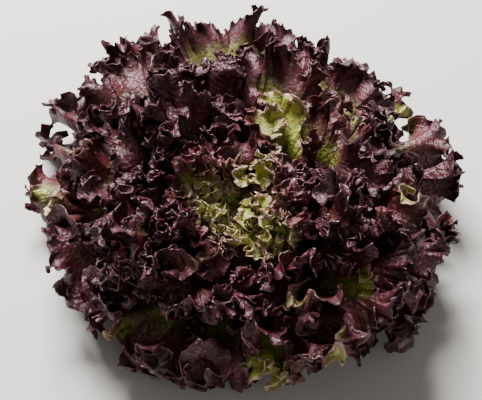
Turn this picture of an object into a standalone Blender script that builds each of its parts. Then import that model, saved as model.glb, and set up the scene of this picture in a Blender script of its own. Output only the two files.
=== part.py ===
"""Lollo rosso lettuce: a short cut stem that carries a spiral of frilled leaves.

Metres, +Z up. The origin is the centre of the cut face that the head stands on, and -Y is its front.

Every leaf lies on one of a family of nested shells, which open round the stem like the layers of a
rosette. A leaf's rank says which shell: 0 is the growing point at the heart, 1 the outermost leaf. The
frill moves the leaf's margin to and fro between its neighbours' shells, so that no leaf meets another.
"""

import math

import bmesh
import bpy
import numpy as np

# Stem: a turned butt, cut flat below and tapering up to the growing point
STEM_RADIUS = 0.0190
STEM_CUT_RADIUS = 0.0175
STEM_SIDE_HEIGHT = 0.0100
STEM_TOP_RADIUS = 0.0060
STEM_TOP_HEIGHT = 0.0320
STEM_TIP_HEIGHT = 0.0350
STEM_SIDES = 28

# Leaves: their number, their order round the stem and the seed of their small differences
LEAF_COUNT = 48
HEART_LEAVES = 14
MIDDLE_LEAVES = 17
GOLDEN_ANGLE = math.radians(137.508)
FIRST_AZIMUTH = math.radians(180)
SPREAD = math.radians(45)
AZIMUTH_PLAY = math.radians(3)
LENGTH_PLAY = 0.09
SEED = 25

# Leaf length and lean, from the heart leaf (rank 0) to the outermost (rank 1)
HEART_LENGTH = 0.030
OUTER_LENGTH = 0.112
LENGTH_POWER = 0.55
SEAT_GAP = 0.0015
ROOT_LEAN = (math.radians(-3), math.radians(62))
TIP_LEAN = (math.radians(-2), math.radians(40), math.radians(100))
BEND_POWER = 1.3

# Leaves are longer on some sides of the head: turns of the swell, its amount, the azimuth of its crest
REACH_SWELLS = (
    (1, 0.119, math.radians(63)),
    (2, 0.080, math.radians(-42)),
    (3, 0.043, math.radians(-33)),
    (4, 0.051, math.radians(42)),
)

# Thickness of the midrib at the stem and of the blade
RIB_THICKNESS = 0.0018
BLADE_THICKNESS = 0.0008

# Outline, as shares of the leaf's spread and length
PETIOLE_ROOT_HALF = 0.32
PETIOLE_NECK_HALF = 0.24
PETIOLE_LENGTH = 0.20
BLADE_MIDDLE = 0.60
BLADE_REACH = 0.40
OUTLINE_SWEEP = math.radians(128)
LOBE_DEPTH = 0.035

# Frill: waves along the margin of each kind of leaf, and their reach in ranks to either side
FRILL_WAVES = {"heart": 5, "middle": 6, "outer": 7}
FRILL_REACH = 1.65
SIDE_REACH = 0.85
HEART_FRILL = 0.60
FRILL_POWER = 2.2

# Mesh: columns at the stem, rows along the leaf, and where the columns double towards the margin
BASE_COLUMNS = {"heart": 4, "middle": 5, "outer": 6}
ROWS = 6
PETIOLE_ROWS = 1
DOUBLING_ROWS = (3, 5)
ROW_CROWDING = 0.8

# The heart leans to the front of the head, which is gently uneven all over
HEART_SHIFT = 0.026
HEART_SHIFT_RADIUS = 0.045
HEART_SHIFT_HEIGHTS = (0.036, 0.080)
SWELL_HEIGHT = 0.0020
SWELL_LENGTHS = (0.075, 0.085, 0.095, 0.110)
CALM_RADIUS = (0.030, 0.080)

# Below this height leaves bend up off the table
TABLE_ROOM = 0.014

STEM_COLOUR = (0.72, 0.74, 0.52, 1.0)
HEART_COLOUR = (0.30, 0.30, 0.10, 1.0)
MIDDLE_COLOUR = (0.10, 0.025, 0.035, 1.0)
OUTER_COLOUR = (0.06, 0.018, 0.026, 1.0)


def smooth_step(low, high, value):
    """0 below low, 1 above high, and an even S between them."""
    share = np.clip((value - low) / (high - low), 0.0, 1.0)
    return share * share * (3.0 - 2.0 * share)


def leaf_kind(index):
    """Heart leaves come first, then those of the middle and the outer ones."""
    if index < HEART_LEAVES:
        return "heart"
    return "middle" if index < HEART_LEAVES + MIDDLE_LEAVES else "outer"


def leaf_length(rank, azimuth):
    """Length from stem to tip. Leaves at the back are longer than those in front."""
    plain = HEART_LENGTH + (OUTER_LENGTH - HEART_LENGTH) * rank**LENGTH_POWER
    swell = sum(amount * np.cos(turns * (azimuth - crest)) for turns, amount, crest in REACH_SWELLS)
    return plain * (1.0 + swell)


def shell_point(rank, share, azimuth):
    """The point at a share of the leaf's length on the shell of that rank, as x, y, z."""
    root_lean = ROOT_LEAN[0] + (ROOT_LEAN[1] - ROOT_LEAN[0]) * rank
    tip_lean = TIP_LEAN[0] + TIP_LEAN[1] * rank + TIP_LEAN[2] * rank**2
    length = leaf_length(rank, azimuth)
    root_radius = STEM_TOP_RADIUS + (STEM_RADIUS - STEM_TOP_RADIUS) * rank + SEAT_GAP
    root_height = STEM_TOP_HEIGHT + (STEM_SIDE_HEIGHT - STEM_TOP_HEIGHT) * rank
    out = np.zeros_like(share)
    up = np.zeros_like(share)
    places, weights = np.polynomial.legendre.leggauss(8)
    for place, weight in zip(places, weights):
        part = share * (place + 1.0) / 2.0
        lean = root_lean + (tip_lean - root_lean) * part**BEND_POWER
        out += weight / 2.0 * np.sin(lean)
        up += weight / 2.0 * np.cos(lean)
    radius = root_radius + length * share * out
    height = root_height + length * share * up
    return np.stack([radius * np.cos(azimuth), radius * np.sin(azimuth), height], axis=-1)


def head_shape(points):
    """Leans the heart, swells the head and keeps it off the table. None of them lets two leaves cross."""
    draw = np.random.default_rng(SEED)
    calm = smooth_step(*CALM_RADIUS, np.linalg.norm(points, axis=-1))[..., None]
    moved = points.copy()
    for length in SWELL_LENGTHS:
        heading = draw.normal(size=3)
        heading /= np.linalg.norm(heading)
        across = np.cross(heading, draw.normal(size=3))
        across /= np.linalg.norm(across)
        phase = 2.0 * math.pi * (points @ heading / length + draw.random())
        moved += SWELL_HEIGHT * calm * np.sin(phase)[..., None] * across
    from_axis = np.hypot(points[..., 0], points[..., 1])
    near_heart = np.exp(-0.5 * (from_axis / HEART_SHIFT_RADIUS) ** 2)
    moved[..., 1] -= HEART_SHIFT * near_heart * smooth_step(*HEART_SHIFT_HEIGHTS, points[..., 2])
    short_of_room = np.minimum(moved[..., 2] / TABLE_ROOM - 1.0, 0.0)
    on_table = smooth_step(*CALM_RADIUS, from_axis)
    moved[..., 2] += on_table * TABLE_ROOM * (np.exp(short_of_room) - 1.0 - short_of_room)
    return moved


def outline(across):
    """Margin of the blade for -1 to 1 from its left corner round the tip to its right one."""
    sweep = across * OUTLINE_SWEEP
    return np.sin(sweep), BLADE_MIDDLE + BLADE_REACH * np.cos(sweep)


def leaf_layout(across, along):
    """Sideways and lengthways shares of a leaf for its grid's coordinates, with the blade's depth.

    The first rows are the petiole, which narrows from the stem. The rest fan out from its neck, and
    depth runs from 0 there to 1 on the margin.
    """
    neck = PETIOLE_ROWS / ROWS
    in_petiole = np.clip(along / neck, 0.0, 1.0)
    depth = np.clip((along - neck) / (1.0 - neck), 0.0, 1.0) ** ROW_CROWDING
    half = PETIOLE_ROOT_HALF + (PETIOLE_NECK_HALF - PETIOLE_ROOT_HALF) * in_petiole
    margin_side, margin_reach = outline(across)
    side = half * across * (1.0 - depth) + margin_side * depth
    reach = PETIOLE_LENGTH * in_petiole * (1.0 - depth) + margin_reach * depth
    return side, reach, depth


def leaf_surface(index, across, along):
    """Middle surface of one leaf at its grid's coordinates."""
    draw = np.random.default_rng(SEED + 100 + index)
    rank = (index + 2.0) / (LEAF_COUNT + 3.0)
    azimuth = FIRST_AZIMUTH + GOLDEN_ANGLE * index + AZIMUTH_PLAY * draw.uniform(-1, 1)
    stretch = 1.0 + LENGTH_PLAY * draw.uniform(-1, 1)
    side, reach, depth = leaf_layout(across, along)

    start, drift_start = draw.uniform(0, 2 * math.pi, 2)
    drift = 0.9 * np.sin(2.0 * across + drift_start)
    ripple = math.pi * FRILL_WAVES[leaf_kind(index)] * across + start
    width = FRILL_REACH + (SIDE_REACH - FRILL_REACH) * np.abs(side)
    width *= HEART_FRILL + (1.0 - HEART_FRILL) * smooth_step(0.0, 0.35, rank)
    rank_shift = width * np.sin(ripple + drift) * depth**FRILL_POWER / (LEAF_COUNT + 3.0)
    lobe = 1.0 + LOBE_DEPTH * depth**4 * np.cos(ripple)

    return head_shape(shell_point(rank + rank_shift, reach * stretch * lobe, azimuth + SPREAD * side))


def leaf_grid(bm, columns):
    """A flat grid from -1 to 1 across and 0 to 1 along, with more columns towards the margin."""
    bmesh.ops.create_grid(bm, x_segments=columns, y_segments=ROWS, size=1.0)
    for vertex in bm.verts:
        vertex.co.y = (vertex.co.y + 1.0) / 2.0
    for row in DOUBLING_ROWS:
        low = (row - 0.5) / ROWS
        level = [e for e in bm.edges if abs(e.verts[0].co.y - e.verts[1].co.y) < 1e-6]
        crowded = [e for e in level if e.verts[0].co.y > low]
        bmesh.ops.subdivide_edges(bm, edges=crowded, cuts=1)
    bmesh.ops.triangulate(bm, faces=bm.faces[:])


def plain_material(name, colour, roughness):
    """A Principled material of one colour."""
    material = bpy.data.materials.new(name)
    material.use_nodes = True
    shader = material.node_tree.nodes["Principled BSDF"]
    shader.inputs["Base Color"].default_value = colour
    shader.inputs["Roughness"].default_value = roughness
    shader.inputs["Metallic"].default_value = 0.0
    return material


def make_leaf(name, index, material, head):
    """One leaf: a shaped grid with a wall, thickest in the petiole."""
    bm = bmesh.new()
    leaf_grid(bm, BASE_COLUMNS[leaf_kind(index)])
    bm.verts.ensure_lookup_table()
    flat = np.array([vertex.co for vertex in bm.verts])
    surface = leaf_surface(index, flat[:, 0], flat[:, 1])
    for vertex, place in zip(bm.verts, surface):
        vertex.co = place
    mesh = bpy.data.meshes.new(name)
    bm.to_mesh(mesh)
    bm.free()

    leaf = bpy.data.objects.new(name, mesh)
    head.objects.link(leaf)
    mesh.materials.append(material)
    _, _, depth = leaf_layout(flat[:, 0], flat[:, 1])
    rib = leaf.vertex_groups.new(name="rib")
    for vertex, share in enumerate(1.0 - smooth_step(0.0, 0.4, depth)):
        rib.add([vertex], float(share), "REPLACE")
    wall = leaf.modifiers.new("wall", "SOLIDIFY")
    wall.thickness = RIB_THICKNESS
    wall.offset = 0.0
    wall.vertex_group = rib.name
    wall.thickness_vertex_group = BLADE_THICKNESS / RIB_THICKNESS
    return leaf


def make_stem(material, head):
    """The butt: a profile turned round the axis, from the growing point down to the cut face."""
    profile = [
        (0.0, STEM_TIP_HEIGHT),
        (STEM_TOP_RADIUS * 0.7, STEM_TIP_HEIGHT - 0.001),
        (STEM_TOP_RADIUS, STEM_TOP_HEIGHT),
        (STEM_RADIUS, STEM_SIDE_HEIGHT),
        (STEM_RADIUS, STEM_SIDE_HEIGHT / 3.0),
        (STEM_CUT_RADIUS, 0.0),
        (0.0, 0.0),
    ]
    bm = bmesh.new()
    corners = [bm.verts.new((radius, 0.0, height)) for radius, height in profile]
    for upper, lower in zip(corners, corners[1:]):
        bm.edges.new((upper, lower))
    mesh = bpy.data.meshes.new("stem")
    bm.to_mesh(mesh)
    bm.free()
    stem = bpy.data.objects.new("stem", mesh)
    head.objects.link(stem)
    mesh.materials.append(material)
    turn = stem.modifiers.new("turn", "SCREW")
    turn.axis = "Z"
    turn.steps = STEM_SIDES
    turn.render_steps = STEM_SIDES
    turn.use_merge_vertices = True
    turn.merge_threshold = 0.0001
    return stem


def clear_scene():
    """Removes the startup scene's objects."""
    for thing in list(bpy.data.objects):
        bpy.data.objects.remove(thing)


def main():
    clear_scene()
    head = bpy.data.collections.new("lollo_rosso_lettuce")
    bpy.context.scene.collection.children.link(head)
    make_stem(plain_material("stem", STEM_COLOUR, 0.55), head)
    leaf_materials = {
        "heart": plain_material("heart_leaf", HEART_COLOUR, 0.40),
        "middle": plain_material("middle_leaf", MIDDLE_COLOUR, 0.38),
        "outer": plain_material("outer_leaf", OUTER_COLOUR, 0.38),
    }
    counts = {kind: 0 for kind in leaf_materials}
    for index in range(LEAF_COUNT):
        kind = leaf_kind(index)
        counts[kind] += 1
        make_leaf(f"{kind}_leaf_{counts[kind]:02d}", index, leaf_materials[kind], head)


main()
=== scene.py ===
"""Lollo rosso lettuce: frilled leaves, veins, leaf colours and a plain studio stage.

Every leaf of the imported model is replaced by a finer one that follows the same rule: a family of nested
shells round the stem, on which each leaf fans out from its petiole. Ruffles, crimps, lobes and teeth are
laid over that surface towards the leaf's margin, each finer than the one before.
"""

import math

import bpy
import numpy as np
from bpy.props import FloatProperty, FloatVectorProperty, PointerProperty
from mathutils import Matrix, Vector


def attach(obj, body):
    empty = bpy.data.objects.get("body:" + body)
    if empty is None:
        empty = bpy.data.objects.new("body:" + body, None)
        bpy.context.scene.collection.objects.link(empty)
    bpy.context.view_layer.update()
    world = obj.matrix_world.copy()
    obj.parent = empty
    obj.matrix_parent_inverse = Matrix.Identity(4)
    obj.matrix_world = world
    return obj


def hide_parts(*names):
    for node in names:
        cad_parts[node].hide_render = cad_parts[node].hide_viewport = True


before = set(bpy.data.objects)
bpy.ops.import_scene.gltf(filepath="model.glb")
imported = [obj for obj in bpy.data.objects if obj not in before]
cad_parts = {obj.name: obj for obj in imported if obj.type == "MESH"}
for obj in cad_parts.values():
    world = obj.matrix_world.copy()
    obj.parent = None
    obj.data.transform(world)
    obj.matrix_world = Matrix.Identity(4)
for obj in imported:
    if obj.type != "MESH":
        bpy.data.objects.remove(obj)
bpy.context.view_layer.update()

bl_info = {
    "name": "Lollo Rosso Lettuce",
    "version": (1, 0, 0),
    "blender": (4, 5, 0),
    "location": "View3D > Sidebar > Lettuce",
    "description": "Dresses a head of lollo rosso lettuce with frilled leaves",
    "category": "Object",
}

# The leaf rule of the solids, in metres and radians
STEM_RADIUS = 0.0190
STEM_CUT_RADIUS = 0.0175
STEM_SIDE_HEIGHT = 0.0100
STEM_TOP_RADIUS = 0.0060
STEM_TOP_HEIGHT = 0.0320
STEM_TIP_HEIGHT = 0.0350
LEAF_COUNT = 48
HEART_LEAVES = 14
MIDDLE_LEAVES = 17
GOLDEN_ANGLE = math.radians(137.508)
FIRST_AZIMUTH = math.radians(180)
SPREAD = math.radians(45)
AZIMUTH_PLAY = math.radians(3)
LENGTH_PLAY = 0.09
SEED = 25
HEART_LENGTH = 0.030
OUTER_LENGTH = 0.112
LENGTH_POWER = 0.55
SEAT_GAP = 0.0015
ROOT_LEAN = (math.radians(-3), math.radians(62))
TIP_LEAN = (math.radians(-2), math.radians(40), math.radians(100))
BEND_POWER = 1.3
REACH_SWELLS = (
    (1, 0.119, math.radians(63)),
    (2, 0.080, math.radians(-42)),
    (3, 0.043, math.radians(-33)),
    (4, 0.051, math.radians(42)),
)
PETIOLE_ROOT_HALF = 0.32
PETIOLE_NECK_HALF = 0.24
PETIOLE_LENGTH = 0.20
BLADE_MIDDLE = 0.60
BLADE_REACH = 0.40
OUTLINE_SWEEP = math.radians(128)
NECK = 1.0 / 6.0
FRILL_WAVES = {"heart": 5, "middle": 6, "outer": 7}
FRILL_REACH = 1.65
SIDE_REACH = 0.85
HEART_FRILL = 0.60
HEART_FRILL_RANKS = (0.0, 0.35)
FRILL_POWER = 2.2
FRILL_SHARE = 0.85
FRILL_DRIFT = 0.9
HEART_SHIFT = 0.026
HEART_SHIFT_RADIUS = 0.045
HEART_SHIFT_HEIGHTS = (0.036, 0.080)
SWELL_HEIGHT = 0.0020
SWELL_LENGTHS = (0.075, 0.085, 0.095, 0.110)
CALM_RADIUS = (0.030, 0.080)
TABLE_ROOM = 0.014

# Leaves of each kind: the number of the first, and the number after the last
LEAF_RANGES = {
    "heart": (0, HEART_LEAVES),
    "middle": (HEART_LEAVES, HEART_LEAVES + MIDDLE_LEAVES),
    "outer": (HEART_LEAVES + MIDDLE_LEAVES, LEAF_COUNT),
}

# The butt's rings above its cut face: radius and height
STEM_SIDES = 96
STEM_RINGS = (
    (STEM_RADIUS, STEM_SIDE_HEIGHT / 3.0),
    (STEM_RADIUS, STEM_SIDE_HEIGHT),
    (STEM_TOP_RADIUS, STEM_TOP_HEIGHT),
    (STEM_TOP_RADIUS * 0.7, STEM_TIP_HEIGHT - 0.001),
    (STEM_TOP_RADIUS * 0.15, STEM_TIP_HEIGHT),
)

# The finer grid: rows of the petiole and the blade, how they crowd towards the margin, columns across a
# leaf at its petiole, the rows at which they double, and how evenly they share out the margin
PETIOLE_ROWS = 3
BLADE_ROWS = 24
ROW_CROWDING = 1.55
COLUMNS = {"heart": 19, "middle": 24, "outer": 33}
DOUBLINGS = (12, 16, 19, 22, 25)
TIP_CROWDING = 0.42
EVENNESS = 1.0

# The row inland of the margin that helps to measure how far waves run
INNER_ROW = -5

# Leaves at the back are calmer than those in front, with wider lobes, and their margins rise. BACK_SIDE
# is the sine of a leaf's azimuth and BACK_RANKS its rank, from not at the back to wholly there
BACK_SIDE = (0.35, 0.95)
BACK_RANKS = (0.45, 0.70)
BACK_CALM = 0.32
BACK_LIFT = math.radians(38)
BACK_LIFT_REACH = 0.030
# The two leaves of the far rim, by number, have their own calm
CALM_LEAVES = {36: 0.50, 44: 0.35}

# How much calmness widens lobes, draws the margin in, and takes off the ruffles
CALM_LOBES = 0.8
CALM_MARGIN = 0.6
CALM_RUFFLES = 0.7

# Waves of the margin grow a little from the heart to the rim of the head
RIM_RANKS = (0.70, 0.95)
HEART_RANKS = (0.0, 0.40)
HEART_SCALE = 0.94
MIDDLE_GAIN = 0.06
RIM_GAIN = 0.15

# How far inland each kind of wave is felt, as a share of its own length
BAY_REACH = 0.55
LOBE_ASIDE_REACH = 0.30
BILLOW_REACH = 0.60
DEEP_BILLOW_REACH = (1.8, 0.6)
RUFFLE_REACH = 0.46
FLOP_REACH = 1.3
NOTCH_REACH = 0.35
TOOTH_REACH = 0.25
CRIMP_REACH = 0.55
# No wave reaches the neck of the blade, and all are weaker at its two sides
NECK_DEPTHS = (0.0, 0.25)
SIDE_SHARES = (0.70, 1.0)
SIDE_LOSS = 0.4

# Share of the billows that runs deep inland: in the heart, then gained by the middle and by the rim
DEEP_SHARES = (0.12, 0.20, 0.12)
DEEP_RANKS = (0.40, 0.85)

# How far billows stray from the lobes, and the distance over which they stray and flops change, as shares
# of a lobe and of a ruffle
BILLOW_WANDER = 0.7
BILLOW_WANDER_PITCH = 2.0
FLOP_PITCH = 1.4

# How narrow bays, notches and the gaps between teeth are, the share of a bay's depth by which lobes stand
# out beyond the plain margin, and how far waves lean aside
BAY_WIDTH = 0.40
NOTCH_WIDTH = 0.55
TOOTH_WIDTH = 0.60
LOBE_LEVEL = 0.25
LOBE_ASIDE = -0.16
RUFFLE_SWAY = -0.20
CRIMP_SWAY = -0.10
FLOP_DRIFT = 0.3

# How uneven waves are in strength and in spacing, and what the uneven values are summed up from
GAIN_UNEVENNESS = 0.35
GAIN_LIMITS = (0.4, 1.5)
LOBE_UNEVENNESS = 1.2
WAVE_UNEVENNESS = 1.3
PHASE_DRAW = 6.28
UNEVEN_WAVES = 3
UNEVEN_RATES = (0.5, 1.3)
UNEVEN_HEIGHT = 1.7
WANDER_WAVES = 12
WANDER_PITCHES = (0.8, 1.6)

# The shortest length that is divided by, how level an edge of the flat grid is, and millimetres in a metre
TINY = 1e-12
LEVEL = 1e-6
MILLIMETRES = 1000.0

# Leaves are lifted below the first of these heights, and never come below the second
LOW_ZONE = 0.006
TABLE_GAP = 0.0006

# Depth in the leaf over which the midrib thins out, and the angles up to which edges are shaded smooth
RIB_DEPTHS = (0.0, 0.4)
LEAF_SMOOTHING = math.radians(60)
STEM_SMOOTHING = math.radians(40)

# Redness of a leaf, 0 for green and 1 for deep burgundy: ranks over which leaves ripen, width of the red
# band at the margin and what ripeness adds to it, how much of that calmness takes off, redness of the
# band and what ripeness adds to it, and redness of the rest of a ripe blade
RIPE_RANKS = (0.08, 0.42)
RED_BAND = (0.005, 0.019)
CALM_BAND = 0.9
BAND_FLUSH = (0.35, 0.70)
BLADE_FLUSH = 0.27

# Where leaves have stayed green: middle of the spot, its radius, and the share of red that is lost
GREEN_SPOTS = (
    ((0.020, 0.027, 0.092), 0.014, 1.0),
    ((0.022, 0.022, 0.082), 0.014, 1.0),
    ((0.026, 0.012, 0.076), 0.013, 1.0),
    ((0.014, -0.006, 0.084), 0.010, 0.8),
    ((0.006, -0.020, 0.088), 0.010, 0.7),
    ((-0.013, -0.020, 0.069), 0.013, 0.9),
    ((-0.008, -0.027, 0.075), 0.013, 0.9),
    ((-0.016, -0.032, 0.077), 0.009, 0.6),
    ((0.010, -0.048, 0.079), 0.012, 1.0),
    ((0.021, -0.050, 0.085), 0.012, 1.0),
    ((0.000, -0.045, 0.073), 0.014, 0.9),
    ((-0.026, -0.019, 0.082), 0.011, 0.7),
    ((-0.022, -0.057, 0.072), 0.010, 0.7),
    ((-0.014, 0.077, 0.076), 0.016, 0.25),
    ((-0.003, 0.090, 0.070), 0.016, 0.25),
    ((0.046, 0.028, 0.090), 0.009, 0.5),
    ((0.053, 0.016, 0.098), 0.009, 0.7),
    ((0.062, 0.018, 0.089), 0.010, 0.6),
    ((0.049, 0.048, 0.067), 0.014, 0.6),
    ((0.030, 0.060, 0.075), 0.016, 0.3),
    ((0.093, 0.069, 0.034), 0.014, 0.95),
    ((0.104, 0.064, 0.016), 0.012, 0.8),
    ((0.085, -0.023, 0.087), 0.009, 0.95),
    ((0.080, -0.032, 0.089), 0.009, 0.8),
    ((0.065, -0.039, 0.093), 0.007, 0.6),
    ((0.105, -0.009, 0.053), 0.010, 0.6),
    ((0.060, -0.066, 0.070), 0.009, 0.95),
    ((0.047, -0.091, 0.066), 0.008, 0.8),
    ((0.049, -0.095, 0.051), 0.010, 0.9),
    ((0.043, -0.098, 0.047), 0.008, 0.7),
    ((0.031, -0.075, 0.069), 0.010, 0.85),
    ((0.024, -0.077, 0.069), 0.008, 0.6),
    ((0.015, -0.078, 0.027), 0.012, 0.9),
    ((0.017, -0.092, 0.028), 0.014, 1.0),
    ((0.010, -0.098, 0.037), 0.012, 1.0),
    ((-0.062, -0.072, 0.031), 0.010, 0.75),
    ((-0.069, -0.077, 0.034), 0.010, 0.75),
    ((-0.104, -0.004, 0.045), 0.014, 0.9),
    ((-0.113, 0.018, 0.028), 0.012, 0.8),
    ((-0.106, 0.050, 0.010), 0.010, 0.6),
    ((-0.082, 0.010, 0.078), 0.008, 0.7),
)

# How redness varies over a leaf: speckles, patches and its underside. Leaves at the back are made redder,
# and so darker, as painted shade
SPECKLE_FLUSH = 0.5
PATCH_FLUSH = 0.5
UNDERSIDE_FLUSH = 0.10
PAINTED_SHADE_REDNESS_AT_BACK = 0.05

# Redness over which each tone takes over from the one before it
TONES = (("olive", 0.05, 0.42), ("burgundy", 0.30, 0.62), ("dark", 0.75, 1.25))

# Leaves at the back are smoother and less glossy, and their colour is mixed towards dark burgundy as
# painted shade
PAINTED_SHADE_AT_BACK = 0.40
BACK_SMOOTHNESS = 0.60
BACK_DULLNESS = 0.08

# Noise in the materials: scale, detail and roughness
VEIN_NOISE = (60.0, 2.0, 0.55)
SPECKLE_NOISE = (420.0, 4.0, 0.65)
PATCH_NOISE = (45.0, 3.0, 0.6)
MOTTLE_NOISE = (170.0, 4.0, 0.7)
BLUSH_NOISE = (120.0, 3.0, 0.65)
EDGE_NOISE = (300.0, 2.0, 0.55)
FADING_NOISE = (70.0, 2.0, 0.55)
CRINKLE_NOISE = (900.0, 3.0, 0.6)
GLOSS_NOISE = (300.0, 2.0, 0.55)
STEM_NOISE = (120.0, 4.0, 0.55)

# Darker mottling of green leaf, and how strongly each kind of leaf blushes pink
MOTTLE_RANGE = (0.44, 0.62)
MOTTLE_SHARE = 0.75
BLUSH_RANGE = (0.54, 0.66)
BLUSH_DEPTHS = (0.35, 0.8)
BLUSHING = {"heart": 0.7, "middle": 0.5, "outer": 0.15}

# Veins fan out over a leaf and branch. They narrow and fade towards the margin, and where leaf is red
VEIN_COUNT = 7.0
VEIN_WANDER = 0.35
VEIN_NARROWING = (4.0, 30.0)
VEIN_WIDTH = 0.8
BRANCH_COUNT = 22.0
BRANCH_SLANT = 5.0
BRANCH_WANDER = 1.2
BRANCH_WIDTH = 0.16
NET_SCALE = 420.0
NET_WIDTH = 0.10
VEIN_PALENESS = 0.85
BRANCH_PALENESS = 0.35
VEIN_DEPTHS = (0.25, 0.85)
VEIN_REDNESS = (0.25, 0.8)
VEIN_HIDING = 0.8
PALE_DEPTHS = (0.0, 0.16)

# The pale line along the margin, in millimetres. It is wider and paler where the leaf is young and green
YOUNG_REDNESS = (0.3, 0.7)
EDGE_RANGE = (0.6, 1.6)
EDGE_WANDER = 1.6
YOUNG_EDGE = 1.7
RED_EDGE_REDNESS = (0.3, 0.8)
RED_EDGE = (0.18, 0.045, 0.055, 1.0)
FADING_RANGE = (0.42, 0.60)
EDGE_SHARES = (0.10, 0.6, 0.15)

# Relief and gloss of a leaf
BLISTER_SCALE = 430.0
BLISTER_HEIGHT = 0.85
CRINKLE_HEIGHT = 0.35
VEIN_HEIGHT = 0.3
BRANCH_HEIGHT = 0.15
NET_HEIGHT = 0.10
RELIEF = 0.0010
ROUGHNESS = (0.33, 0.20)
SHEEN_LEVEL = 0.82
SHEEN_TINT = (0.99, 0.79, 0.86, 1.0)

# The stem's flesh: where it has browned, how much relief it has, and how rough it is
STEM_BROWN = (0.50, 0.34, 0.16, 1.0)
BROWN_RANGE = (0.45, 0.75)
STEM_RELIEF = 0.0005
STEM_RELIEF_SHARE = 0.4
STEM_ROUGHNESS = 0.45

# The stage
FLOOR_SIZE = 6.0
FLOOR_ROUGHNESS = 0.8
KEY_SIZE = 0.6
KEY_PLACE = (-0.25, 0.75, 0.95)
FILL_SIZE = 1.2
FILL_PLACE = (0.5, -0.9, 0.9)
LIGHT_AIM = (0.0, 0.0, 0.05)
ROOM_COLOUR = (1.0, 0.95, 0.89, 1.0)
NEAREST_SEEN = 0.01


class LettuceShape(bpy.types.PropertyGroup):
    blade: FloatProperty(
        name="Blade", description="Thickness of a leaf's blade", default=0.00045, unit="LENGTH"
    )
    rib: FloatProperty(
        name="Rib", description="Thickness of the midrib at the stem", default=0.0018, unit="LENGTH"
    )
    billow_turn: FloatProperty(
        name="Billow turn",
        description="How far a wide wave turns the margin",
        default=math.radians(76),
        subtype="ANGLE",
    )
    ruffle_pitch: FloatProperty(
        name="Ruffle pitch",
        description="Length of one ruffle of an outer leaf",
        default=0.0130,
        unit="LENGTH",
    )
    ruffle_turn: FloatProperty(
        name="Ruffle turn",
        description="How far a ruffle curls the margin",
        default=math.radians(96),
        subtype="ANGLE",
    )
    crimp_pitch: FloatProperty(
        name="Crimp pitch",
        description="Length of one crimp on the ruffles",
        default=0.0098,
        unit="LENGTH",
    )
    crimp_turn: FloatProperty(
        name="Crimp turn",
        description="How far a crimp curls the margin",
        default=math.radians(26),
        subtype="ANGLE",
    )
    flop: FloatProperty(
        name="Flop",
        description="How far ruffles turn to and fro at random",
        default=math.radians(31),
        subtype="ANGLE",
    )
    lobe_pitch: FloatProperty(
        name="Lobe pitch",
        description="Length of one lobe of an outer leaf's margin",
        default=0.0170,
        unit="LENGTH",
    )
    bay_depth: FloatProperty(
        name="Bay depth", description="Depth of the bays between lobes", default=0.0072, unit="LENGTH"
    )
    notch_depth: FloatProperty(
        name="Notch depth",
        description="Depth of the notches within a lobe",
        default=0.0026,
        unit="LENGTH",
    )
    tooth_depth: FloatProperty(
        name="Tooth depth",
        description="Depth of the notches between teeth",
        default=0.0012,
        unit="LENGTH",
    )


class LettuceColours(bpy.types.PropertyGroup):
    burgundy: FloatVectorProperty(
        name="Burgundy",
        description="Flushed leaf",
        subtype="COLOR",
        size=4,
        default=(0.098, 0.015, 0.018, 1.0),
    )
    dark: FloatVectorProperty(
        name="Dark burgundy",
        description="Deepest flush",
        subtype="COLOR",
        size=4,
        default=(0.044, 0.006, 0.009, 1.0),
    )
    olive: FloatVectorProperty(
        name="Olive",
        description="Leaf under a thin flush",
        subtype="COLOR",
        size=4,
        default=(0.078, 0.056, 0.009, 1.0),
    )
    green: FloatVectorProperty(
        name="Green",
        description="Leaf with no flush",
        subtype="COLOR",
        size=4,
        default=(0.42, 0.455, 0.062, 1.0),
    )
    shade: FloatVectorProperty(
        name="Shade",
        description="Darker green between the veins",
        subtype="COLOR",
        size=4,
        default=(0.13, 0.17, 0.025, 1.0),
    )
    blush: FloatVectorProperty(
        name="Blush",
        description="Pink flush on green leaf",
        subtype="COLOR",
        size=4,
        default=(0.34, 0.15, 0.13, 1.0),
    )
    rib: FloatVectorProperty(
        name="Rib",
        description="Midrib and veins",
        subtype="COLOR",
        size=4,
        default=(0.27, 0.30, 0.08, 1.0),
    )
    cream: FloatVectorProperty(
        name="Cream",
        description="Edges of the heart leaves",
        subtype="COLOR",
        size=4,
        default=(0.66, 0.43, 0.33, 1.0),
    )
    cut: FloatVectorProperty(
        name="Cut face",
        description="Flesh of the cut stem",
        subtype="COLOR",
        size=4,
        default=(0.72, 0.70, 0.48, 1.0),
    )


class LettuceStage(bpy.types.PropertyGroup):
    elevation: FloatProperty(
        name="Elevation",
        description="Height of the camera over the horizon",
        default=math.radians(57),
        subtype="ANGLE",
    )
    pitch: FloatProperty(
        name="Pitch",
        description="How far down the camera looks",
        default=math.radians(54.66),
        subtype="ANGLE",
    )
    distance: FloatProperty(
        name="Distance", description="Camera to the stem's foot", default=0.632, unit="LENGTH"
    )
    lens: FloatProperty(name="Lens", description="Focal length in millimetres", default=82.2)
    floor: FloatVectorProperty(
        name="Floor",
        description="Colour of the floor",
        subtype="COLOR",
        size=4,
        default=(0.70, 0.68, 0.64, 1.0),
    )
    key: FloatProperty(
        name="Key light",
        description="Power of the large light behind",
        default=57.0,
        unit="POWER",
    )
    fill: FloatProperty(
        name="Fill light",
        description="Power of the light in front",
        default=1.6,
        unit="POWER",
    )
    room: FloatProperty(name="Room light", description="Brightness of the surroundings", default=0.17)


def smooth_step(low, high, value):
    """0 below low, 1 above high, and an even S between them."""
    share = np.clip((value - low) / (high - low), 0.0, 1.0)
    return share * share * (3.0 - 2.0 * share)


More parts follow.
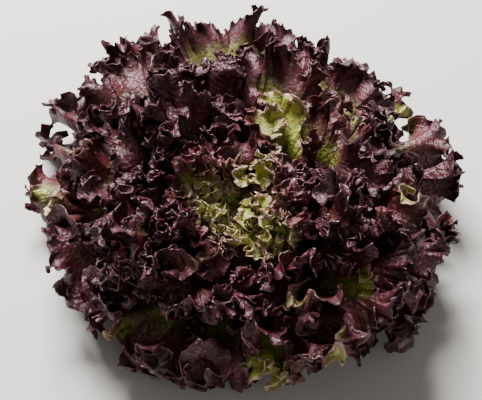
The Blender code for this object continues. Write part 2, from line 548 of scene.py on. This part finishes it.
def leaf_length(rank, azimuth):
    """Length of a leaf's midrib. The head's outline comes from its swells."""
    plain = HEART_LENGTH + (OUTER_LENGTH - HEART_LENGTH) * rank**LENGTH_POWER
    swell = sum(amount * np.cos(turns * (azimuth - crest)) for turns, amount, crest in REACH_SWELLS)
    return plain * (1.0 + swell)


def shell_point(rank, share, azimuth):
    """The point at a share of the leaf's length on the shell of that rank."""
    root_lean = ROOT_LEAN[0] + (ROOT_LEAN[1] - ROOT_LEAN[0]) * rank
    tip_lean = TIP_LEAN[0] + TIP_LEAN[1] * rank + TIP_LEAN[2] * rank**2
    length = leaf_length(rank, azimuth)
    root_radius = STEM_TOP_RADIUS + (STEM_RADIUS - STEM_TOP_RADIUS) * rank + SEAT_GAP
    root_height = STEM_TOP_HEIGHT + (STEM_SIDE_HEIGHT - STEM_TOP_HEIGHT) * rank
    out = np.zeros_like(share)
    up = np.zeros_like(share)
    places, weights = np.polynomial.legendre.leggauss(8)
    for place, weight in zip(places, weights):
        part = share * (place + 1.0) / 2.0
        lean = root_lean + (tip_lean - root_lean) * part**BEND_POWER
        out += weight / 2.0 * np.sin(lean)
        up += weight / 2.0 * np.cos(lean)
    radius = root_radius + length * share * out
    height = root_height + length * share * up
    return np.stack([radius * np.cos(azimuth), radius * np.sin(azimuth), height], axis=-1)


def head_shape(points):
    """Leans the heart to the front, gives the head gentle swells and keeps it off the table."""
    draw = np.random.default_rng(SEED)
    calm = smooth_step(*CALM_RADIUS, np.linalg.norm(points, axis=-1))[..., None]
    moved = points.copy()
    for length in SWELL_LENGTHS:
        heading = draw.normal(size=3)
        heading /= np.linalg.norm(heading)
        across = np.cross(heading, draw.normal(size=3))
        across /= np.linalg.norm(across)
        phase = 2.0 * math.pi * (points @ heading / length + draw.random())
        moved += SWELL_HEIGHT * calm * np.sin(phase)[..., None] * across
    from_axis = np.hypot(points[..., 0], points[..., 1])
    near_heart = np.exp(-0.5 * (from_axis / HEART_SHIFT_RADIUS) ** 2)
    moved[..., 1] -= HEART_SHIFT * near_heart * smooth_step(*HEART_SHIFT_HEIGHTS, points[..., 2])
    short_of_room = np.minimum(moved[..., 2] / TABLE_ROOM - 1.0, 0.0)
    on_table = smooth_step(*CALM_RADIUS, from_axis)
    moved[..., 2] += on_table * TABLE_ROOM * (np.exp(short_of_room) - 1.0 - short_of_room)
    return moved


def leaf_kind(index):
    """Heart, middle or outer."""
    return next(kind for kind, (first, last) in LEAF_RANGES.items() if first <= index < last)


def uneven(draw, across, turns, amount):
    """A smooth wandering value along the margin, of about that amount, with a few turns in it."""
    value = np.zeros_like(across)
    for _ in range(UNEVEN_WAVES):
        rate = turns * draw.uniform(*UNEVEN_RATES)
        value += np.sin(math.pi * rate * across + draw.uniform(0, 2 * math.pi))
    return amount * value / UNEVEN_HEIGHT


def frame_of(points):
    """Unit vectors of a grid of points: along its margin, outwards to the margin, and its normal."""
    sideways = np.gradient(points, axis=1)
    outwards = np.gradient(points, axis=0)
    normal = np.cross(outwards, sideways)
    normal /= np.maximum(np.linalg.norm(normal, axis=-1, keepdims=True), TINY)
    sideways /= np.maximum(np.linalg.norm(sideways, axis=-1, keepdims=True), TINY)
    return sideways, np.cross(sideways, normal), normal


def wandering(points, pitch, draw):
    """A smooth value at each point that wanders over about that distance."""
    value = np.zeros(points.shape[:-1])
    for _ in range(WANDER_WAVES):
        heading = draw.normal(size=3)
        heading *= 2.0 * math.pi / (pitch * draw.uniform(*WANDER_PITCHES) * np.linalg.norm(heading))
        value += np.sin(points @ heading + draw.uniform(0, PHASE_DRAW))
    return value / math.sqrt(WANDER_WAVES / 2.0)


def bays(phase, width):
    """1 in the middle of each bay of the margin, and near 0 over the lobes between."""
    across_bay = np.sin(phase) / width
    flat = 1.0 / (1.0 + 1.0 / width**2)
    return (1.0 / (1.0 + across_bay**2) - flat) / (1.0 - flat)


def above_table(points):
    """Lifts what would reach the table or lie below it."""
    low = np.minimum(points[..., 2:] - LOW_ZONE, 0.0)
    lifted = LOW_ZONE + (LOW_ZONE - TABLE_GAP) * (np.exp(low / (LOW_ZONE - TABLE_GAP)) - 1.0)
    return np.concatenate([points[..., :2], np.where(low < 0.0, lifted, points[..., 2:])], axis=-1)


def curl(points, lift, sway):
    """Turns each step towards the margin up by lift and aside by sway, and joins them up again."""
    sideways, outwards, normal = ((vectors[1:] + vectors[:-1]) / 2.0 for vectors in frame_of(points))
    steps = np.diff(points, axis=0)
    ahead = np.sum(steps * outwards, axis=-1)
    aside = np.sum(steps * sideways, axis=-1)
    lift = (lift[1:] + lift[:-1]) / 2.0
    sway = (sway[1:] + sway[:-1]) / 2.0
    steps = (
        (ahead * np.cos(lift) * np.cos(sway))[..., None] * outwards
        + (ahead * np.sin(lift))[..., None] * normal
        + (aside + ahead * np.cos(lift) * np.sin(sway))[..., None] * sideways
    )
    return np.concatenate([points[:1], points[:1] + np.cumsum(steps, axis=0)])


class Leaf:
    """The shape of one leaf on a grid of rows, from petiole to margin, and columns across it."""

    def __init__(self, index, across, along, shape):
        draw = np.random.default_rng(SEED + 100 + index)
        self.rank = (index + 2.0) / (LEAF_COUNT + 3.0)
        self.azimuth = FIRST_AZIMUTH + GOLDEN_ANGLE * index + AZIMUTH_PLAY * draw.uniform(-1, 1)
        stretch = 1.0 + LENGTH_PLAY * draw.uniform(-1, 1)
        start, drift_start = draw.uniform(0, 2 * math.pi, 2)
        in_petiole = np.clip(along / NECK, 0.0, 1.0)
        depth = np.clip((along - NECK) / (1.0 - NECK), 0.0, 1.0)
        half = PETIOLE_ROOT_HALF + (PETIOLE_NECK_HALF - PETIOLE_ROOT_HALF) * in_petiole
        sweep = across * OUTLINE_SWEEP
        side = half * across * (1.0 - depth) + np.sin(sweep) * depth
        margin_reach = BLADE_MIDDLE + BLADE_REACH * np.cos(sweep)
        reach = PETIOLE_LENGTH * in_petiole * (1.0 - depth) + margin_reach * depth
        ripple = math.pi * FRILL_WAVES[leaf_kind(index)] * across + start
        wave = np.sin(ripple + FRILL_DRIFT * np.sin(2.0 * across + drift_start))
        width = FRILL_REACH + (SIDE_REACH - FRILL_REACH) * np.abs(side)
        width *= HEART_FRILL + (1.0 - HEART_FRILL) * smooth_step(*HEART_FRILL_RANKS, self.rank)
        step = 1.0 / (LEAF_COUNT + 3.0)
        shift = FRILL_SHARE * width * wave * depth**FRILL_POWER * step
        turn = self.azimuth + SPREAD * side
        self.depth = depth
        self.across = across
        faces_back = smooth_step(*BACK_SIDE, math.sin(self.azimuth))
        self.at_back = float(faces_back * smooth_step(*BACK_RANKS, self.rank))
        self.calm = CALM_LEAVES.get(index, BACK_CALM * self.at_back)
        points = head_shape(shell_point(self.rank + shift, reach * stretch, turn))
        rows = np.linalg.norm(np.diff(points, axis=0), axis=-1)
        to_margin = np.cumsum(rows[::-1], axis=0)[::-1]
        self.inland = np.concatenate([to_margin, np.zeros((1, rows.shape[1]))])
        self.points = self.ruffled(points, draw, shape)

    def waves(self, points, pitch, unevenness, draw):
        """A phase that gains a whole turn in each pitch of the margin, and how strong each wave is."""
        margin = np.linalg.norm(np.diff(points[-1], axis=0), axis=-1)
        inner = np.linalg.norm(np.diff(points[INNER_ROW], axis=0), axis=-1)
        run = np.concatenate([[0.0], np.cumsum((margin + 2.0 * inner) / 3.0)])
        across = self.across[-1]
        count = run[-1] / pitch
        gain = np.clip(1.0 + uneven(draw, across, count / 3, GAIN_UNEVENNESS), *GAIN_LIMITS)
        phase = 2.0 * math.pi * run / pitch + uneven(draw, across, count / 4, unevenness)
        return phase + draw.uniform(0, PHASE_DRAW), gain

    def near_margin(self, reach, power=1.5):
        """1 at the margin and fading inland over that reach. It is weaker at the blade's two sides."""
        strength = 1.0 - SIDE_LOSS * smooth_step(*SIDE_SHARES, np.abs(self.across))
        near = np.exp(-((self.inland / reach) ** power))
        return near * smooth_step(*NECK_DEPTHS, self.depth) * strength

    def ruffled(self, points, draw, shape):
        """Lobes, then ever finer waves towards the margin."""
        rim = smooth_step(*RIM_RANKS, self.rank)
        scale = HEART_SCALE + MIDDLE_GAIN * smooth_step(*HEART_RANKS, self.rank) + RIM_GAIN * rim
        calm = self.calm
        lobe_pitch = scale * shape.lobe_pitch * (1.0 + CALM_LOBES * calm)
        ruffle_pitch = scale * shape.ruffle_pitch
        crimp_pitch = scale * shape.crimp_pitch

        lobe, gain = self.waves(points, lobe_pitch, LOBE_UNEVENNESS, draw)
        sideways, outwards, _ = frame_of(points)
        depth = scale * shape.bay_depth * (1.0 + calm) * gain
        inwards = depth * (bays(0.5 * lobe, BAY_WIDTH) - LOBE_LEVEL + CALM_MARGIN * calm)
        inwards = inwards * self.near_margin(BAY_REACH * lobe_pitch, 1.0)
        aside = LOBE_ASIDE * depth * np.sin(lobe) * self.near_margin(LOBE_ASIDE_REACH * lobe_pitch, 1.0)
        points = points - inwards[..., None] * outwards + aside[..., None] * sideways

        wander = wandering(points, BILLOW_WANDER_PITCH * lobe_pitch, draw)
        heart_share, middle_share, rim_share = DEEP_SHARES
        deep = heart_share + middle_share * smooth_step(*DEEP_RANKS, self.rank) + rim_share * rim
        deep_reach = (DEEP_BILLOW_REACH[0] + DEEP_BILLOW_REACH[1] * rim) * lobe_pitch
        near = (1.0 - deep) * self.near_margin(BILLOW_REACH * lobe_pitch)
        near = near + deep * self.near_margin(deep_reach, 2.0)
        turn = (1.0 - calm) * shape.billow_turn
        rise = BACK_LIFT * self.at_back * self.near_margin(BACK_LIFT_REACH, 2.0)
        billow = np.sin(0.5 * lobe + BILLOW_WANDER * wander)
        points = curl(points, turn * billow * gain * near + rise, 0.0 * near)

        ruffle, gain = self.waves(points, ruffle_pitch, WAVE_UNEVENNESS, draw)
        near = self.near_margin(RUFFLE_REACH * ruffle_pitch)
        turn = (1.0 - CALM_RUFFLES * calm) * shape.ruffle_turn
        sway = RUFFLE_SWAY * np.sin(2 * ruffle) * near
        points = curl(points, turn * np.sin(ruffle) * gain * near, sway)
        near = self.near_margin(FLOP_REACH * ruffle_pitch)
        turn = (1.0 - calm) * shape.flop
        flop = turn * wandering(points, FLOP_PITCH * ruffle_pitch, draw) * near
        drift = FLOP_DRIFT * turn * wandering(points, FLOP_PITCH * ruffle_pitch, draw) * near
        points = curl(points, flop, drift)

        crimp, gain = self.waves(points, crimp_pitch, WAVE_UNEVENNESS, draw)
        ahead = np.gradient(points, axis=0)
        ahead /= np.maximum(np.linalg.norm(ahead, axis=-1, keepdims=True), TINY)
        notches = scale * shape.notch_depth * bays(ruffle, NOTCH_WIDTH)
        notches = notches * self.near_margin(NOTCH_REACH * ruffle_pitch, 1.0)
        teeth = scale * shape.tooth_depth * bays(crimp, TOOTH_WIDTH) * gain
        teeth = teeth * self.near_margin(TOOTH_REACH * crimp_pitch, 1.0)
        points = points - (notches + teeth)[..., None] * ahead
        near = self.near_margin(CRIMP_REACH * crimp_pitch)
        turn = shape.crimp_turn * np.sin(crimp) * gain * near
        points = curl(points, turn, CRIMP_SWAY * np.sin(2 * crimp) * near)
        return above_table(points)


def evened(across, margin):
    """Moves columns to where the margin is long, so that no part of it has long straight edges."""
    edges = np.linalg.norm(np.diff(margin, axis=0), axis=-1)
    run = np.concatenate([[0.0], np.cumsum(edges + EVENNESS * edges.mean())])
    return np.interp(np.linspace(0.0, run[-1], len(across)), run, across)


def deselect_all():
    for thing in bpy.context.selected_objects:
        thing.select_set(False)


def leaf_pattern(columns):
    """A flat grid for one leaf, whose columns double towards the margin. x is across, y is the row."""
    rows = PETIOLE_ROWS + BLADE_ROWS
    deselect_all()
    bpy.ops.mesh.primitive_grid_add(x_subdivisions=columns, y_subdivisions=rows, size=2.0)
    pattern = bpy.context.object
    for low in DOUBLINGS:
        edge_height = -1.0 + 2.0 * (low - 0.5) / rows
        bpy.ops.object.mode_set(mode="EDIT")
        bpy.ops.mesh.select_mode(type="EDGE")
        bpy.ops.mesh.select_all(action="DESELECT")
        bpy.ops.object.mode_set(mode="OBJECT")
        mesh = pattern.data
        places = np.empty(len(mesh.vertices) * 3)
        mesh.vertices.foreach_get("co", places)
        heights = places.reshape(-1, 3)[:, 1]
        ends = np.empty(len(mesh.edges) * 2, dtype=np.int32)
        mesh.edges.foreach_get("vertices", ends)
        ends = ends.reshape(-1, 2)
        level = np.abs(heights[ends[:, 0]] - heights[ends[:, 1]]) < LEVEL
        chosen = level & (heights[ends[:, 0]] > edge_height)
        mesh.edges.foreach_set("select", chosen)
        bpy.ops.object.mode_set(mode="EDIT")
        bpy.ops.mesh.subdivide(number_cuts=1)
        bpy.ops.object.mode_set(mode="OBJECT")
    bpy.ops.object.mode_set(mode="EDIT")
    bpy.ops.mesh.select_mode(type="FACE")
    bpy.ops.mesh.select_all(action="SELECT")
    bpy.ops.mesh.quads_convert_to_tris(quad_method="BEAUTY", ngon_method="BEAUTY")
    bpy.ops.object.mode_set(mode="OBJECT")
    return pattern


def dress_leaves(kind):
    """Shapes a copy of the pattern into each leaf of that kind, and gives it its materials and wall."""
    finishes = [leaf_finish(kind, "upper"), leaf_finish(kind, "under")]
    shape = bpy.context.scene.lettuce_shape
    columns = COLUMNS[kind]
    rows = PETIOLE_ROWS + BLADE_ROWS
    pattern = leaf_pattern(columns)
    mesh = pattern.data
    flat = np.empty(len(mesh.vertices) * 3)
    mesh.vertices.foreach_get("co", flat)
    flat = flat.reshape(-1, 3)
    finest = columns * 2 ** len(DOUBLINGS)
    column = np.rint((flat[:, 0] + 1.0) / 2.0 * finest).astype(int)
    row = np.rint((flat[:, 1] + 1.0) / 2.0 * rows).astype(int)

    share = np.arange(BLADE_ROWS + 1) / BLADE_ROWS
    blade_depth = 1.0 - (1.0 - share) ** ROW_CROWDING
    petiole = NECK * np.arange(PETIOLE_ROWS) / PETIOLE_ROWS
    along = np.concatenate([petiole, NECK + (1.0 - NECK) * blade_depth])
    across = np.linspace(-1.0, 1.0, finest + 1)
    across *= 1.0 - TIP_CROWDING * (1.0 - across**2)

    for number, index in enumerate(range(*LEAF_RANGES[kind]), 1):
        name = f"{kind}_leaf_{number:02d}"
        trial = Leaf(index, *np.meshgrid(across, along), shape)
        leaf = Leaf(index, *np.meshgrid(evened(across, trial.points[-1]), along), shape)
        copy = mesh.copy()
        copy.name = name + "_frilled"
        piece = bpy.data.objects.new(name + "_frilled", copy)
        bpy.context.scene.collection.objects.link(piece)
        points = leaf.points[row, column]
        copy.vertices.foreach_set("co", points.ravel())
        add_leaf_marks(copy, leaf, row, column)
        for finish in finishes:
            copy.materials.append(finish)
        rib = piece.vertex_groups.new(name="rib")
        thick = 1.0 - smooth_step(*RIB_DEPTHS, leaf.depth[row, column])
        for vertex, weight in enumerate(thick):
            if weight > 0.0:
                rib.add([vertex], float(weight), "REPLACE")
        deselect_all()
        piece.select_set(True)
        bpy.context.view_layer.objects.active = piece
        wall = piece.modifiers.new("wall", "SOLIDIFY")
        wall.thickness = shape.rib
        wall.offset = 0.0
        wall.vertex_group = rib.name
        wall.thickness_vertex_group = shape.blade / shape.rib
        wall.material_offset = 1
        wall.material_offset_rim = 0
        bpy.ops.object.modifier_apply(modifier=wall.name)
        bpy.ops.object.shade_smooth_by_angle(angle=LEAF_SMOOTHING)
        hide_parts(name)
        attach(piece, "root")
    bpy.data.objects.remove(pattern)


def add_leaf_marks(mesh, leaf, row, column):
    """Keeps the leaf's own coordinates, its flush and how far back it is, for the materials to read."""
    marks = {
        "across": leaf.across[row, column],
        "depth": leaf.depth[row, column],
        "inland": leaf.inland[row, column] * MILLIMETRES,
        "flush": leaf_flush(leaf)[row, column],
        "back": np.full(len(row), leaf.at_back),
    }
    for name, values in marks.items():
        layer = mesh.attributes.new(name, "FLOAT", "POINT")
        layer.data.foreach_set("value", values.astype(np.float32))


def leaf_flush(leaf):
    """How red the leaf is at each point. Red fades inland, in the heart and in green spots."""
    ripe = smooth_step(*RIPE_RANKS, leaf.rank)
    band = RED_BAND[0] + RED_BAND[1] * ripe * (1.0 - CALM_BAND * leaf.calm)
    at_margin = (BAND_FLUSH[0] + BAND_FLUSH[1] * ripe) * np.exp(-((leaf.inland / band) ** 2))
    flush = at_margin + BLADE_FLUSH * ripe
    for place, radius, share in GREEN_SPOTS:
        away = np.linalg.norm(leaf.points - np.array(place), axis=-1) / radius
        flush = flush * (1.0 - share * np.exp(-(away**2)))
    return flush


class Signal:
    """A socket of a material's node tree, so that sums on it read as sums."""

    def __init__(self, finish, socket):
        self.finish = finish
        self.socket = socket

    def worked(self, operation, first, second):
        return self.finish.node("ShaderNodeMath", {"operation": operation}, {0: first, 1: second})

    def __add__(self, other):
        return self.worked("ADD", self, other)

    def __radd__(self, other):
        return self.worked("ADD", other, self)

    def __sub__(self, other):
        return self.worked("SUBTRACT", self, other)

    def __rsub__(self, other):
        return self.worked("SUBTRACT", other, self)

    def __mul__(self, other):
        return self.worked("MULTIPLY", self, other)

    def __rmul__(self, other):
        return self.worked("MULTIPLY", other, self)


class Finish:
    """A material that is built up node by node."""

    def __init__(self, name):
        self.material = bpy.data.materials.new(name)
        self.material.use_nodes = True
        self.tree = self.material.node_tree
        self.shader = self.tree.nodes["Principled BSDF"]

    def node(self, kind, settings=None, inputs=None, output=0):
        """Adds a node with its settings, then its sockets' values or links, and gives one output."""
        made = self.tree.nodes.new(kind)
        for name, value in (settings or {}).items():
            setattr(made, name, value)
        for key, value in (inputs or {}).items():
            self.feed(made.inputs[key], value)
        return Signal(self, made.outputs[output])

    def feed(self, socket, value):
        if isinstance(value, Signal):
            self.tree.links.new(value.socket, socket)
        else:
            socket.default_value = value

    def mark(self, name):
        """One of the leaf's own coordinates."""
        return self.node("ShaderNodeAttribute", {"attribute_name": name}, output="Fac")

    def noise(self, vector, scale, detail, roughness):
        inputs = {"Vector": vector, "Scale": scale, "Detail": detail, "Roughness": roughness}
        return self.node("ShaderNodeTexNoise", {"noise_dimensions": "3D"}, inputs)

    def cells(self, vector, scale, feature):
        inputs = {"Vector": vector, "Scale": scale}
        return self.node("ShaderNodeTexVoronoi", {"feature": feature}, inputs)

    def ramped(self, value, low, high):
        """0 to 1 in an even S as the value goes from low to high."""
        inputs = {"Value": value, "From Min": low, "From Max": high}
        return self.node("ShaderNodeMapRange", {"interpolation_type": "SMOOTHSTEP"}, inputs)

    def to_nearest(self, value):
        """How far a value is from the nearest whole number."""
        return self.node("ShaderNodeMath", {"operation": "PINGPONG"}, {0: value, 1: 0.5})

    def mixed(self, share, first, second):
        """A colour between two others."""
        settings = {"data_type": "RGBA", "clamp_factor": True}
        return self.node("ShaderNodeMix", settings, {0: share, 6: first, 7: second}, output=2)

    def bumped(self, height, strength, distance, inverted=False):
        """Relief of the surface."""
        inputs = {"Strength": strength, "Distance": distance, "Height": height}
        bump = self.node("ShaderNodeBump", {"invert": inverted}, inputs)
        self.feed(self.shader.inputs["Normal"], bump)


def vein_lines(finish, place, across, depth):
    """Veins that fan out over the leaf, their branches and the net between, each 1 along its lines."""
    wander = finish.noise(place, *VEIN_NOISE)
    to_vein = finish.to_nearest(across * VEIN_COUNT + wander * VEIN_WANDER)
    narrowing = depth * VEIN_NARROWING[1] + VEIN_NARROWING[0]
    vein = 1.0 - finish.ramped(to_vein * narrowing, 0.0, VEIN_WIDTH)
    to_branch = finish.to_nearest(depth * BRANCH_COUNT - to_vein * BRANCH_SLANT + wander * BRANCH_WANDER)
    branch = 1.0 - finish.ramped(to_branch, 0.0, BRANCH_WIDTH)
    net = 1.0 - finish.ramped(finish.cells(place, NET_SCALE, "DISTANCE_TO_EDGE"), 0.0, NET_WIDTH)
    return vein, branch, net


def leaf_tissue(finish, place, depth, redness, kind):
    """Mottled green with a pink blush, then the redder tones."""
    colours = bpy.context.scene.lettuce_colours
    mottle = finish.ramped(finish.noise(place, *MOTTLE_NOISE), *MOTTLE_RANGE)
    tissue = finish.mixed(mottle * MOTTLE_SHARE, colours.green, colours.shade)
    blush = finish.ramped(finish.noise(place, *BLUSH_NOISE), *BLUSH_RANGE)
    blush = blush * finish.ramped(depth, *BLUSH_DEPTHS)
    tissue = finish.mixed(blush * BLUSHING[kind], tissue, colours.blush)
    for tone, low, high in TONES:
        tissue = finish.mixed(finish.ramped(redness, low, high), tissue, getattr(colours, tone))
    return tissue


def pale_lines(finish, tissue, depth, redness, vein, branch):
    """Lays the colour of the ribs over the veins and over the foot of the leaf."""
    colours = bpy.context.scene.lettuce_colours
    lines = {0: vein * VEIN_PALENESS, 1: branch * BRANCH_PALENESS}
    shown = finish.node("ShaderNodeMath", {"operation": "MAXIMUM"}, lines)
    shown = shown * (1.0 - finish.ramped(depth, *VEIN_DEPTHS))
    shown = shown * (1.0 - finish.ramped(redness, *VEIN_REDNESS) * VEIN_HIDING)
    tissue = finish.mixed(shown, tissue, colours.rib)
    return finish.mixed(1.0 - finish.ramped(depth, *PALE_DEPTHS), tissue, colours.rib)


def pale_edge(finish, place, tissue, redness):
    """Lays the pale line of the margin over the leaf."""
    colours = bpy.context.scene.lettuce_colours
    inland = finish.mark("inland")
    young = 1.0 - finish.ramped(redness, *YOUNG_REDNESS)
    from_edge = inland + finish.noise(place, *EDGE_NOISE) * EDGE_WANDER - young * YOUNG_EDGE
    edge = 1.0 - finish.ramped(from_edge, *EDGE_RANGE)
    tone = finish.mixed(finish.ramped(redness, *RED_EDGE_REDNESS), colours.cream, RED_EDGE)
    fading = finish.ramped(finish.noise(place, *FADING_NOISE), *FADING_RANGE)
    young_share, fading_share, red_share = EDGE_SHARES
    return finish.mixed(edge * (young * (young_share + fading * fading_share) + red_share), tissue, tone)


def leaf_finish(kind, side):
    """Leaf tissue: green to burgundy by its flush, with veins, blisters, a waxy sheen and painted shade at
    the back.
    """
    finish = Finish(f"{kind}_{side}")
    underside = side == "under"
    place = finish.node("ShaderNodeTexCoord", output="Object")
    across, depth, flush, back = (finish.mark(name) for name in ("across", "depth", "flush", "back"))
    vein, branch, net = vein_lines(finish, place, across, depth)

    speckle = (finish.noise(place, *SPECKLE_NOISE) - 0.5) * SPECKLE_FLUSH
    patches = (finish.noise(place, *PATCH_NOISE) - 0.5) * PATCH_FLUSH
    redness = flush + speckle + patches - (UNDERSIDE_FLUSH if underside else 0.0)
    # Painted shade: leaves at the back get more redness, which turns them towards the darker tones
    redness = redness + back * PAINTED_SHADE_REDNESS_AT_BACK
    tissue = leaf_tissue(finish, place, depth, redness, kind)
    # Painted shade: the colour of leaves at the back is mixed towards dark burgundy
    tissue = finish.mixed(back * PAINTED_SHADE_AT_BACK, tissue, bpy.context.scene.lettuce_colours.dark)
    tissue = pale_lines(finish, tissue, depth, redness, vein, branch)
    tissue = pale_edge(finish, place, tissue, redness)
    finish.feed(finish.shader.inputs["Base Color"], tissue)

    blister = 1.0 - finish.cells(place, BLISTER_SCALE, "SMOOTH_F1")
    height = blister * BLISTER_HEIGHT + finish.noise(place, *CRINKLE_NOISE) * CRINKLE_HEIGHT
    height = height - vein * VEIN_HEIGHT - branch * BRANCH_HEIGHT - net * NET_HEIGHT
    finish.bumped(height * (1.0 - back * BACK_SMOOTHNESS), 1.0, RELIEF, underside)
    roughness = ROUGHNESS[0] + finish.noise(place, *GLOSS_NOISE) * ROUGHNESS[1] + back * BACK_DULLNESS
    finish.feed(finish.shader.inputs["Roughness"], roughness)
    finish.shader.inputs["Specular IOR Level"].default_value = SHEEN_LEVEL
    finish.shader.inputs["Specular Tint"].default_value = SHEEN_TINT
    return finish.material


def stem_finish(colours):
    """Cut lettuce stem: pale, moist flesh that has browned in patches."""
    finish = Finish("stem_flesh")
    place = finish.node("ShaderNodeTexCoord", output="Object")
    patches = finish.noise(place, *STEM_NOISE)
    tone = finish.mixed(finish.ramped(patches, *BROWN_RANGE), colours.cut, STEM_BROWN)
    finish.feed(finish.shader.inputs["Base Color"], tone)
    finish.bumped(patches, STEM_RELIEF_SHARE, STEM_RELIEF)
    finish.shader.inputs["Roughness"].default_value = STEM_ROUGHNESS
    return finish.material


class LETTUCE_OT_stem(bpy.types.Operator):
    """Draw up the short butt that the leaves grow from"""

    bl_idname = "lettuce.stem"
    bl_label = "Stem"

    def execute(self, context):
        deselect_all()
        bpy.ops.mesh.primitive_circle_add(
            vertices=STEM_SIDES, radius=STEM_CUT_RADIUS, fill_type="TRIFAN"
        )
        stem = context.object
        stem.name = "stem_butt"
        bpy.ops.object.mode_set(mode="EDIT")
        bpy.ops.mesh.select_mode(type="FACE")
        bpy.ops.mesh.select_all(action="SELECT")
        radius, height = STEM_CUT_RADIUS, 0.0
        for next_radius, next_height in STEM_RINGS:
            step = (0.0, 0.0, next_height - height)
            bpy.ops.mesh.extrude_region_move(TRANSFORM_OT_translate={"value": step})
            narrower = (next_radius / radius, next_radius / radius, 1.0)
            bpy.ops.transform.resize(value=narrower, center_override=(0.0, 0.0, next_height))
            radius, height = next_radius, next_height
        bpy.ops.mesh.select_all(action="SELECT")
        bpy.ops.mesh.normals_make_consistent(inside=False)
        bpy.ops.object.mode_set(mode="OBJECT")
        bpy.ops.object.shade_smooth_by_angle(angle=STEM_SMOOTHING)
        stem.data.materials.append(stem_finish(context.scene.lettuce_colours))
        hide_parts("stem")
        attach(stem, "root")
        return {"FINISHED"}


class LETTUCE_OT_heart_leaves(bpy.types.Operator):
    """Shape the pale leaves of the heart"""

    bl_idname = "lettuce.heart_leaves"
    bl_label = "Heart leaves"

    def execute(self, context):
        dress_leaves("heart")
        return {"FINISHED"}


class LETTUCE_OT_middle_leaves(bpy.types.Operator):
    """Shape the leaves that stand round the heart"""

    bl_idname = "lettuce.middle_leaves"
    bl_label = "Middle leaves"

    def execute(self, context):
        dress_leaves("middle")
        return {"FINISHED"}


class LETTUCE_OT_outer_leaves(bpy.types.Operator):
    """Shape the leaves that arch out and down to the table"""

    bl_idname = "lettuce.outer_leaves"
    bl_label = "Outer leaves"

    def execute(self, context):
        dress_leaves("outer")
        return {"FINISHED"}


class LETTUCE_OT_stage(bpy.types.Operator):
    """Set the floor, the lights and the camera"""

    bl_idname = "lettuce.stage"
    bl_label = "Stage"

    def execute(self, context):
        stage = context.scene.lettuce_stage
        deselect_all()
        bpy.ops.mesh.primitive_plane_add(size=FLOOR_SIZE)
        floor = context.object
        floor.name = "floor"
        finish = Finish("floor_paint")
        finish.shader.inputs["Base Color"].default_value = stage.floor
        finish.shader.inputs["Roughness"].default_value = FLOOR_ROUGHNESS
        floor.data.materials.append(finish.material)

        self.add_light("key_light", stage.key, KEY_SIZE, Vector(KEY_PLACE))
        self.add_light("fill_light", stage.fill, FILL_SIZE, Vector(FILL_PLACE))
        world = bpy.data.worlds.new("room")
        world.use_nodes = True
        background = world.node_tree.nodes["Background"]
        background.inputs["Color"].default_value = ROOM_COLOUR
        background.inputs["Strength"].default_value = stage.room
        context.scene.world = world

        lens = bpy.data.cameras.new("camera")
        lens.lens = stage.lens
        lens.clip_start = NEAREST_SEEN
        camera = bpy.data.objects.new("camera", lens)
        context.scene.collection.objects.link(camera)
        camera.location = (
            0.0,
            -math.cos(stage.elevation) * stage.distance,
            math.sin(stage.elevation) * stage.distance,
        )
        camera.rotation_euler = (math.radians(90) - stage.pitch, 0.0, 0.0)
        context.scene.camera = camera
        return {"FINISHED"}

    def add_light(self, name, power, size, place):
        light = bpy.data.lights.new(name, "AREA")
        light.energy = power
        light.size = size
        lamp = bpy.data.objects.new(name, light)
        bpy.context.scene.collection.objects.link(lamp)
        lamp.location = place
        lamp.rotation_euler = (Vector(LIGHT_AIM) - place).to_track_quat("-Z", "Y").to_euler()


class LETTUCE_PT_sidebar(bpy.types.Panel):
    """Lists the lettuce's parts in the order in which they are made"""

    bl_idname = "LETTUCE_PT_sidebar"
    bl_label = "Lettuce"
    bl_space_type = "VIEW_3D"
    bl_region_type = "UI"
    bl_category = "Lettuce"

    def draw(self, context):
        for step in STEPS:
            self.layout.operator(step.bl_idname)
        scene = context.scene
        for group in (scene.lettuce_shape, scene.lettuce_colours, scene.lettuce_stage):
            box = self.layout.box()
            for name in group.__annotations__:
                box.prop(group, name)


STEPS = (
    LETTUCE_OT_stem,
    LETTUCE_OT_heart_leaves,
    LETTUCE_OT_middle_leaves,
    LETTUCE_OT_outer_leaves,
    LETTUCE_OT_stage,
)
CLASSES = (LettuceShape, LettuceColours, LettuceStage, *STEPS, LETTUCE_PT_sidebar)


def register():
    for kind in CLASSES:
        bpy.utils.register_class(kind)
    bpy.types.Scene.lettuce_shape = PointerProperty(type=LettuceShape)
    bpy.types.Scene.lettuce_colours = PointerProperty(type=LettuceColours)
    bpy.types.Scene.lettuce_stage = PointerProperty(type=LettuceStage)


def unregister():
    del bpy.types.Scene.lettuce_stage
    del bpy.types.Scene.lettuce_colours
    del bpy.types.Scene.lettuce_shape
    for kind in reversed(CLASSES):
        bpy.utils.unregister_class(kind)


def main():
    register()
    bpy.ops.lettuce.stem()
    bpy.ops.lettuce.heart_leaves()
    bpy.ops.lettuce.middle_leaves()
    bpy.ops.lettuce.outer_leaves()
    bpy.ops.lettuce.stage()


if __name__ == "__main__":
    main()
